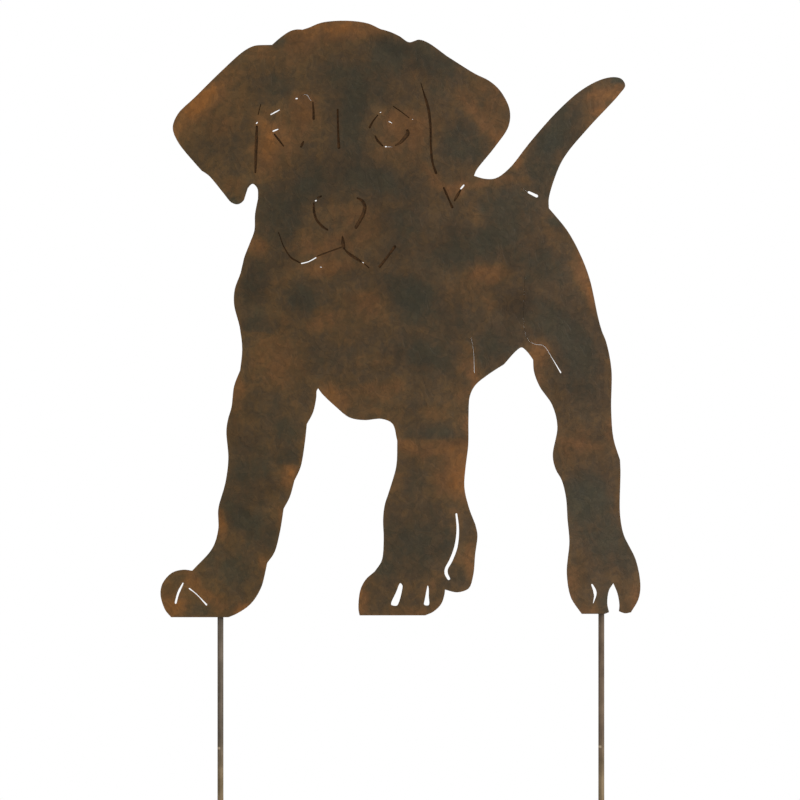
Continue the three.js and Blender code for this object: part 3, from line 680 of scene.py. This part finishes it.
class Cap:
    """One flat side of the sheet, divided anew inside its own cut edges."""

    def __init__(self, mesh, side, level):
        self.side = side
        self.level = level
        self.faces = [face for face in mesh.faces if self.holds(face)]
        self.face_set = set(self.faces)
        self.rim = []
        self.outward = {}
        for face in self.faces:
            for loop in face.loops:
                others = [f for f in loop.edge.link_faces if f not in self.face_set]
                if others:
                    self.rim.append((loop.vert, loop.link_loop_next.vert))
                    normal = Vector((others[0].normal.x, others[0].normal.z))
                    for vert in loop.edge.verts:
                        self.outward.setdefault(vert, []).append(normal.normalized())

    def holds(self, face):
        """Whether a face of the solid lies on this side of the sheet."""
        near = abs(face.verts[0].co.y - self.level) < ON_SIDE
        return near and face.normal.y * self.side > FACING

    def edge_points(self, step):
        """Points along the cut edges, in the plane, no further apart than step."""
        points = []
        for a, b in self.rim:
            start = Vector((a.co.x, a.co.z))
            end = Vector((b.co.x, b.co.z))
            count = max(1, math.ceil((end - start).length / step))
            points += [start.lerp(end, i / count) for i in range(count)]
        return points

    def inset(self, vert):
        """The way into the metal from a corner of the cut edge, which keeps both its edges parallel."""
        first, last = self.outward[vert][0], self.outward[vert][-1]
        total = first + last
        if total.length < DOUBLES_BACK:
            return Vector((0, 0))
        return -total / max(1 + first.dot(last), LEAST_OPENING)


def near_tree(points):
    """Points of the plane, kept for finding the nearest."""
    tree = kdtree.KDTree(len(points))
    for i, point in enumerate(points):
        tree.insert((point.x, point.y, 0), i)
    tree.balance()
    return tree


def distance(tree, point):
    """How far a point of the plane is from the nearest of the tree's."""
    return tree.find((point.x, point.y, 0))[2]


def grid_inside(cap, edges, step):
    """Points of a staggered grid on the cap, clear of its cut edges."""
    verts = {}
    faces = [[verts.setdefault(v, len(verts)) for v in f.verts] for f in cap.faces]
    bvh = BVHTree.FromPolygons([v.co for v in verts], faces)
    row_step = step * math.sqrt(3) / 2
    above = cap.level + cap.side * PROBE
    towards = Vector((0, -cap.side, 0))
    points = []
    rows = math.ceil((SHEET_HIGH.z - SHEET_LOW.z) / row_step)
    columns = math.ceil((SHEET_HIGH.x - SHEET_LOW.x) / step)
    for row in range(rows):
        for column in range(columns):
            x = SHEET_LOW.x + (column + 0.5 * (row % 2)) * step
            z = SHEET_LOW.z + row * row_step
            if bvh.ray_cast(Vector((x, above, z)), towards, 2 * PROBE)[0] is None:
                continue
            if distance(edges, Vector((x, z))) > GRID_CLEAR * step:
                points.append(Vector((x, z)))
    return points


def inside(points, rim):
    """Whether each point is enclosed by the rim's edges: a line from it to the right crosses them an odd
    number of times."""
    start = np.array([tuple(a) for a, _ in rim])
    end = np.array([tuple(b) for _, b in rim])
    rise = end[:, 1] - start[:, 1]
    across = (end[:, 0] - start[:, 0]) / np.where(rise == 0, 1, rise)
    answer = []
    for x, y in points:
        spans = (start[:, 1] > y) != (end[:, 1] > y)
        crossing = start[spans, 0] + (y - start[spans, 1]) * across[spans]
        answer.append(np.count_nonzero(crossing > x) % 2 == 1)
    return answer


def broken_corner(cap, vert, edges):
    """Where the break at a corner of the cut edge ends on the cap, in the plane."""
    way = cap.inset(vert)
    here = Vector((vert.co.x, vert.co.z))
    size = EDGE_BREAK
    while size > LEAST_BREAK and distance(edges, here + way * size) < BREAK_CLEAR * size:
        size /= 2
    return here + way * size


def add_cap(cap, verts, faces, kinds, index, step):
    """Breaks the cap's cut edges and fills it with small triangles."""
    edges = near_tree(cap.edge_points(BREAK_STEP))
    inner = {}
    flat = []
    for vert in cap.outward:
        inner[vert] = len(flat)
        flat.append(broken_corner(cap, vert, edges))
        verts[index[vert]].y -= cap.side * EDGE_BREAK
    rim = [(inner[a], inner[b]) for a, b in cap.rim]
    scaled = [point / MM for point in flat + grid_inside(cap, edges, step)]
    result = geometry.delaunay_2d_cdt(scaled, rim, [], ALL_TRIANGLES, SAME_POINT)
    found, _, triangles, origins, _, _ = result
    base = len(verts)
    target = {}
    for i, place in enumerate(found):
        verts.append(Vector((place.x * MM, cap.level, place.y * MM)))
        for origin in origins[i]:
            target[origin] = base + i
    middles = [sum((found[i] for i in t), Vector((0, 0))) / 3 for t in triangles]
    kept = inside(middles, [(scaled[a], scaled[b]) for a, b in rim])
    for triangle in (t for t, keep in zip(triangles, kept) if keep):
        ring = [base + i for i in triangle]
        faces.append(ring if cap.side < 0 else ring[::-1])
        kinds.append("face")
    for a, b in cap.rim:
        if inner[a] in target and inner[b] in target:
            faces.append([index[a], index[b], target[inner[b]], target[inner[a]]])
            kinds.append("face")


def wall_kind(face):
    """The material of a wall: a groove's stops inside the metal, and a cut edge runs from side to side."""
    depths = [v.co.y for v in face.verts]
    if min(depths) > FRONT + ON_SIDE or max(depths) < BACK - ON_SIDE:
        return "groove"
    return "edge"


def sheet_piece():
    """The cut sheet with its sides divided for the patina, its edges broken and a slight wave."""
    mesh = bmesh.new()
    mesh.from_mesh(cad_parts["dog_plate"].data)
    bmesh.ops.remove_doubles(mesh, verts=mesh.verts, dist=WELD_DISTANCE)
    mesh.normal_update()
    caps = (Cap(mesh, -1, FRONT), Cap(mesh, 1, BACK))
    index = {v: i for i, v in enumerate(mesh.verts)}
    verts = [v.co.copy() for v in mesh.verts]
    walls = [f for f in mesh.faces if f not in caps[0].face_set and f not in caps[1].face_set]
    faces = [[index[v] for v in f.verts] for f in walls]
    kinds = [wall_kind(f) for f in walls]
    for cap, step in zip(caps, (FRONT_GRID, BACK_GRID)):
        add_cap(cap, verts, faces, kinds, index, step)
    data = bpy.data.meshes.new("dog_sheet")
    data.from_pydata(verts, [], faces)
    slots = ("face", "edge", "groove")
    for name in slots:
        data.materials.append(MATERIALS[name])
    data.polygons.foreach_set("material_index", [slots.index(kind) for kind in kinds])
    data.update()
    smooth(data)
    paint(data, near_tree(caps[1].edge_points(RUST_STEP)))
    wave(data)
    mesh.free()
    return placed("dog_sheet", data)


def paint(data, edges):
    """Gives every point of the sheet its patina's tone and shade and its distance from the nearest cut
    edge, in millimetres. The back mirrors the front."""
    places = np.empty(len(data.vertices) * 3)
    data.vertices.foreach_get("co", places)
    places = places.reshape(-1, 3)
    x = places[:, 0] / UNIT
    z = places[:, 2] / UNIT
    front = places[:, 1] < 0
    x = np.where(front, x, -x)
    layers = {
        "tone": COMMON_TONE + patched(PATCHES, x, z, TONE_SEED) + wiped(x, z, WIPE_SEED),
        "shade": 1 + patched(SHADES, x, z, SHADE_SEED),
        "reach": [distance(edges, Vector((p[0], p[2]))) / MM for p in places],
    }
    for name, values in layers.items():
        layer = data.attributes.new(name, "FLOAT", "POINT")
        layer.data.foreach_set("value", values)


def wave(data):
    """Bends the sheet a little out of its plane, but not where the stakes hold it."""
    stakes = [sum(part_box(name), Vector()) / 2 for name in STAKES]
    top = max(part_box(name)[1].z for name in STAKES)
    for vert in data.vertices:
        p = vert.co
        still = min(max(abs(p.x - s.x), p.z - top) for s in stakes)
        free = float(smoothstep(0, STILL_NEAR_STAKE, still))
        p.y += free * WAVE_HEIGHT * noise.noise(Vector((p.x / WAVE_LENGTH, WAVE_SEED, p.z / WAVE_LENGTH)))


def add_bar(mesh, axis, low, high, radius):
    """A round bar along z with chamfered ends."""
    profile = (
        (radius - STAKE_CHAMFER, low),
        (radius, low + STAKE_CHAMFER),
        (radius, high - STAKE_CHAMFER),
        (radius - STAKE_CHAMFER, high),
    )
    turns = [2 * math.pi * i / BAR_SIDES for i in range(BAR_SIDES)]
    rings = []
    for reach, level in profile:
        ring = [(axis.x + reach * math.cos(t), axis.y + reach * math.sin(t), level) for t in turns]
        rings.append([mesh.verts.new(p) for p in ring])
    for lower, upper in zip(rings, rings[1:]):
        for i in range(BAR_SIDES):
            j = (i + 1) % BAR_SIDES
            mesh.faces.new((lower[i], lower[j], upper[j], upper[i]))
    mesh.faces.new(rings[0][::-1])
    mesh.faces.new(rings[-1])


def add_bead(mesh, middle, flat_side, slot):
    """A rippled bead of weld metal beside the bar, flat where it lies against the sheet."""
    shape = bmesh.ops.create_uvsphere(mesh, u_segments=BEAD_SIDES, v_segments=BEAD_RINGS, radius=1)
    for vert in shape["verts"]:
        ripple = 1 + BEAD_RIPPLE * math.sin(vert.co.z * BEAD_RIPPLES * math.pi)
        half = Vector((BEAD_HALF.x * ripple, BEAD_HALF.y * ripple, BEAD_HALF.z))
        vert.co = middle + vert.co * half
        vert.co.y = max(vert.co.y, flat_side)
    for face in {f for v in shape["verts"] for f in v.link_faces}:
        face.material_index = slot


def stake_piece(name):
    """One round stake with the four weld beads that join it to the sheet's back."""
    low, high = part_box(name)
    radius = (high.y - low.y) / 2
    axis = (low + high) / 2
    materials = (stake_material(name, axis), MATERIALS["bead"])
    bead_slot = materials.index(MATERIALS["bead"])
    mesh = bmesh.new()
    add_bar(mesh, axis, low.z, high.z, radius)
    for height in BEAD_HEIGHTS:
        for side in (-1, 1):
            middle = Vector((axis.x + side * radius, low.y, height))
            add_bead(mesh, middle, BACK - BEAD_SINK, bead_slot)
    data = bpy.data.meshes.new(name + "_bar")
    mesh.to_mesh(data)
    mesh.free()
    for material in materials:
        data.materials.append(material)
    smooth(data)
    return placed(name + "_bar", data)


class Nodes:
    """A material's node tree, with short calls that add and join its nodes."""

    # The mix node's sockets for colours.
    MIX_A, MIX_B, MIX_RESULT = 6, 7, 2

    def __init__(self, name):
        self.material = bpy.data.materials.new(name)
        self.material.use_nodes = True
        self.tree = self.material.node_tree
        self.shader = self.tree.nodes["Principled BSDF"]
        self.place = self.tree.nodes.new("ShaderNodeTexCoord").outputs["Object"]

    def join(self, source, target):
        """Joins an output to an input, or sets the input to a number."""
        if isinstance(source, (int, float)):
            target.default_value = source
        else:
            self.tree.links.new(source, target)

    def vary(self, sources):
        """Joins what changes over the surface to the shader."""
        for socket, source in sources.items():
            self.join(source, self.shader.inputs[socket])

    def keep(self, values):
        """Sets what is the same all over the surface on the shader itself."""
        for socket, value in values.items():
            self.shader.inputs[socket].default_value = value

    def attribute(self, name):
        """A value that the mesh carries at its points."""
        node = self.tree.nodes.new("ShaderNodeAttribute")
        node.attribute_name = name
        return node.outputs["Fac"]

    def noise(self, name):
        """The named noise, with blotches about as wide as its size."""
        look = {**PLAIN_NOISE, **NOISES[name]}
        mapping = self.tree.nodes.new("ShaderNodeMapping")
        mapping.inputs["Scale"].default_value = look["stretch"]
        mapping.inputs["Rotation"].default_value = look["turn"]
        self.join(self.place, mapping.inputs["Vector"])
        node = self.tree.nodes.new("ShaderNodeTexNoise")
        node.inputs["Scale"].default_value = 1 / look["size"]
        node.inputs["Detail"].default_value = look["detail"]
        node.inputs["Roughness"].default_value = look["roughness"]
        node.inputs["Distortion"].default_value = look["distortion"]
        self.join(mapping.outputs["Vector"], node.inputs["Vector"])
        return node.outputs["Fac"]

    def coordinate(self, axis):
        parts = self.tree.nodes.new("ShaderNodeSeparateXYZ")
        self.join(self.place, parts.inputs[0])
        return parts.outputs[axis]

    def math(self, operation, a, b=0.0):
        node = self.tree.nodes.new("ShaderNodeMath")
        node.operation = operation
        self.join(a, node.inputs[0])
        self.join(b, node.inputs[1])
        return node.outputs[0]

    def span(self, value, from_low, from_high, to_low=0.0, to_high=1.0):
        """The value, stretched from one band to another and held at its ends."""
        node = self.tree.nodes.new("ShaderNodeMapRange")
        node.inputs["From Min"].default_value = from_low
        node.inputs["From Max"].default_value = from_high
        node.inputs["To Min"].default_value = to_low
        node.inputs["To Max"].default_value = to_high
        self.join(value, node.inputs["Value"])
        return node.outputs["Result"]

    def swing(self, value, from_low, from_high, change, middle=0.0):
        """The value's band, stretched to as much as the change below and above the middle."""
        return self.span(value, from_low, from_high, middle - change, middle + change)

    def ramp(self, value, stops):
        """A colour that turns with the value, from stop to stop."""
        node = self.tree.nodes.new("ShaderNodeValToRGB")
        elements = node.color_ramp.elements
        while len(elements) < len(stops):
            elements.new(1)
        for element, (spot, colour) in zip(elements, stops):
            element.position = spot
            element.color = (*colour, 1)
        self.join(value, node.inputs["Fac"])
        return node.outputs["Color"]

    def blotched(self, value, colours):
        """A colour between a dark and a light one as they show on screen, over a noise's wide band."""
        return self.ramp(value, [(spot, linear(*colour)) for spot, colour in zip(WIDE, colours)])

    def mix(self, share, a, b, blend="MIX"):
        """Two colours mixed by a share of the second, or blended in another way."""
        node = self.tree.nodes.new("ShaderNodeMix")
        node.data_type = "RGBA"
        node.blend_type = blend
        self.join(share, node.inputs[0])
        for value, socket in ((a, node.inputs[self.MIX_A]), (b, node.inputs[self.MIX_B])):
            if isinstance(value, tuple):
                socket.default_value = (*value, 1)
            else:
                self.join(value, socket)
        return node.outputs[self.MIX_RESULT]

    def bump(self, height, depth, normal=None):
        """Fine relief, laid over another where one is given."""
        node = self.tree.nodes.new("ShaderNodeBump")
        node.inputs["Distance"].default_value = depth
        self.join(height, node.inputs["Height"])
        if normal is not None:
            self.join(normal, node.inputs["Normal"])
        return node.outputs["Normal"]


def linear(red, green, blue):
    """A colour given as it shows on screen, 0 to 255, as the linear light that a shader reads."""
    def one(value):
        value /= 255
        return value / 12.92 if value <= 0.04045 else ((value + 0.055) / 1.055) ** 2.4
    return tuple(one(v) for v in (red, green, blue))


def under_sheen(red, green, blue):
    """The surface's own colour, for one that shows on screen with the grey sheen over it."""
    return tuple(max(0.0, v - SHEEN) / LIT for v in linear(red, green, blue))


def sheen_and_blush(nodes):
    """The patina's turn from warm to cool across the sheet, which is painted sheen, with a random blush
    here and there.
    """
    across = nodes.span(nodes.coordinate("X"), SHEET_LOW.x, SHEET_HIGH.x)
    blush = nodes.swing(nodes.noise("blush"), *NARROW, BLUSH)
    return nodes.mix(nodes.math("ADD", across, blush), LEFT_SHEEN_TINT, RIGHT_SHEEN_TINT)


def veins(nodes):
    """The share of light that is left in the dark veins and beside them."""
    middle = nodes.math("SUBTRACT", nodes.noise("vein"), NOISE_MIDDLE)
    return nodes.span(nodes.math("ABSOLUTE", middle), 0, VEIN_HALF, VEIN_SHADE, 1)


def patina(nodes, tone, shade):
    """Joins the patina's colour, roughness and relief for a tone and a shade to the shader."""
    noises = {name: nodes.noise(name) for name in {**TONE_CHANGES, **SHADE_CHANGES}}
    for name, change in TONE_CHANGES.items():
        tone = nodes.math("ADD", tone, nodes.swing(noises[name], *change))
    for name, change in SHADE_CHANGES.items():
        shade = nodes.math("MULTIPLY", shade, nodes.swing(noises[name], *change, middle=1))
    shade = nodes.math("MULTIPLY", shade, veins(nodes))
    colour = nodes.ramp(tone, [(spot, under_sheen(*shown)) for spot, shown in PATINA])
    colour = nodes.mix(1.0, colour, shade, "MULTIPLY")
    # Painted sheen: a cool grey haze of reflected light, painted stronger across the sheet towards the
    # tail.
    colour = nodes.mix(1.0, colour, sheen_and_blush(nodes), "MULTIPLY")
    rough = nodes.math("ADD", tone, nodes.swing(noises["grain"], *WIDE, ROUGH_GRAIN))
    normal = None
    for name, (low, high, height) in RELIEF.items():
        normal = nodes.bump(nodes.span(noises[name], low, high), height, normal)
    nodes.vary({"Base Color": colour, "Roughness": nodes.span(rough, 0, 1, *ROUGHNESS), "Normal": normal})
    nodes.keep({"Metallic": 0, "Specular IOR Level": GLOSS})


def face_material():
    """The sheet's two sides, rustier and lighter towards the cut edges."""
    nodes = Nodes("patina_steel")
    fade = nodes.math("POWER", RIM_FADE, nodes.math("MULTIPLY", nodes.attribute("reach"), -1.0))
    rust = nodes.math("MULTIPLY", fade, nodes.swing(nodes.noise("rim"), *NARROW, RIM_UNEVEN, middle=1))
    tone = nodes.math("ADD", nodes.attribute("tone"), nodes.math("MULTIPLY", rust, RIM_RUST))
    lighter = nodes.math("ADD", 1.0, nodes.math("MULTIPLY", fade, RIM_LIGHT))
    patina(nodes, tone, nodes.math("MULTIPLY", nodes.attribute("shade"), lighter))
    return nodes.material


def edge_material():
    """The cut edge, striped across by the cutting jet and rusted over."""
    nodes = Nodes("cut_edge")
    patina(nodes, nodes.span(nodes.noise("jet stripe"), *WIDE, *EDGE_TONES), 1.0)
    return nodes.material


def groove_material():
    # Painted shade: the grooves get a dark colour that stands in for the shadow inside the cut lines.
    nodes = Nodes("groove")
    blotch = nodes.noise("groove painted shade")
    dark, light = (linear(*colour) for colour in GROOVE_SHADE_COLOURS)
    colour = nodes.mix(nodes.span(blotch, *NARROW), dark, light)
    nodes.vary({"Base Color": colour, "Normal": nodes.bump(blotch, GROOVE_RELIEF)})
    nodes.keep({"Roughness": GROOVE_ROUGHNESS, "Specular IOR Level": GROOVE_GLOSS})
    return nodes.material


def stake_material(name, axis):
    """Dull round bar with a thin brown film, a painted shadow close under the paw, and warmer towards its
    foot.
    """
    nodes = Nodes(name)
    up = nodes.coordinate("Z")
    film = nodes.noise("stake film")
    tone = nodes.math("ADD", film, nodes.swing(nodes.noise("stake drawing"), *WIDE, DRAWING))
    cool = nodes.blotched(tone, STAKE_FILM[name])
    warm = nodes.blotched(tone, FOOT_FILM)
    colour = nodes.mix(nodes.span(up, *FOOT_TURN), cool, warm)
    # Painted shadow that the sheet casts on the stake, darkest right under the paw.
    under = nodes.span(up, 0, PAINTED_PAW_SHADOW_END, PAINTED_PAW_SHADOW, 1)
    colour = nodes.mix(1.0, colour, under, "MULTIPLY")
    off = nodes.math("ABSOLUTE", nodes.math("SUBTRACT", up, NICKS[name]))
    nick = nodes.span(off, *NICK_HALF, 1, 0)
    left = nodes.span(nodes.coordinate("X"), axis.x + NICK_SIDE[0], axis.x + NICK_SIDE[1], 1, 0)
    colour = nodes.mix(nodes.math("MULTIPLY", nick, left), colour, linear(*NICK_COLOUR))
    rough = nodes.swing(film, *WIDE, STAKE_ROUGH_CHANGE, middle=STAKE_ROUGHNESS)
    normal = nodes.bump(nodes.noise("stake grain"), STAKE_RELIEF)
    nodes.vary({"Base Color": colour, "Roughness": rough, "Normal": normal})
    nodes.keep({"Metallic": STAKE_METAL, "Specular IOR Level": STAKE_GLOSS})
    return nodes.material


def bead_material():
    """Weld metal, sooty brown."""
    nodes = Nodes("weld_bead")
    nodes.vary({"Base Color": nodes.blotched(nodes.noise("weld soot"), WELD_COLOURS)})
    nodes.keep({"Metallic": STAKE_METAL, "Roughness": BEAD_ROUGHNESS})
    return nodes.material


MATERIALS = {
    "face": face_material(),
    "edge": edge_material(),
    "groove": groove_material(),
    "bead": bead_material(),
}


def camera():
    data = bpy.data.cameras.new("camera")
    data.lens = LENS
    data.sensor_width = SENSOR
    away = VIEW_WIDTH * LENS / SENSOR
    piece = placed("camera", data)
    piece.location = VIEW_MIDDLE - Vector((0, away, 0))
    piece.rotation_euler = (math.pi / 2, 0, 0)
    bpy.context.scene.camera = piece


def area_light(name, place, width, power):
    """A square soft light that faces the lit spot."""
    data = bpy.data.lights.new(name, "AREA")
    data.shape = "SQUARE"
    data.size = width
    data.energy = power
    piece = placed(name, data)
    piece.location = place
    piece.rotation_euler = (Vector(LIT_SPOT) - Vector(place)).to_track_quat("-Z", "Y").to_euler()


def background(tree, strength):
    node = tree.nodes.new("ShaderNodeBackground")
    node.inputs["Color"].default_value = (1, 1, 1, 1)
    node.inputs["Strength"].default_value = strength
    return node.outputs[0]


def surroundings():
    """Surroundings that show as plain white and light the figure less than that."""
    world = bpy.data.worlds.new("studio")
    bpy.context.scene.world = world
    world.use_nodes = True
    tree = world.node_tree
    path = tree.nodes.new("ShaderNodeLightPath")
    mix = tree.nodes.new("ShaderNodeMixShader")
    tree.links.new(path.outputs["Is Camera Ray"], mix.inputs["Fac"])
    tree.links.new(background(tree, FILL), mix.inputs[1])
    tree.links.new(background(tree, 1), mix.inputs[2])
    tree.links.new(mix.outputs[0], tree.nodes["World Output"].inputs["Surface"])


def floor():
    """A pale round floor under the stakes' ends, small enough to stay out of the level view."""
    mesh = bmesh.new()
    bmesh.ops.create_circle(mesh, cap_ends=True, segments=FLOOR_SIDES, radius=FLOOR_RADIUS)
    data = bpy.data.meshes.new("floor")
    mesh.to_mesh(data)
    mesh.free()
    nodes = Nodes("floor")
    nodes.keep({"Base Color": FLOOR_COLOUR, "Roughness": FLOOR_ROUGHNESS})
    data.materials.append(nodes.material)
    piece = placed("floor", data)
    piece.location.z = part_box("left_stake")[0].z


bpy.context.scene.view_settings.view_transform = "Standard"
camera()
surroundings()
for name, settings in LIGHTS.items():
    area_light(name, *settings)
floor()

sheet = sheet_piece()
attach(sheet, "root")
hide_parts("dog_plate")

for name in STAKES:
    stake = stake_piece(name)
    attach(stake, "root")
    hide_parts(name)
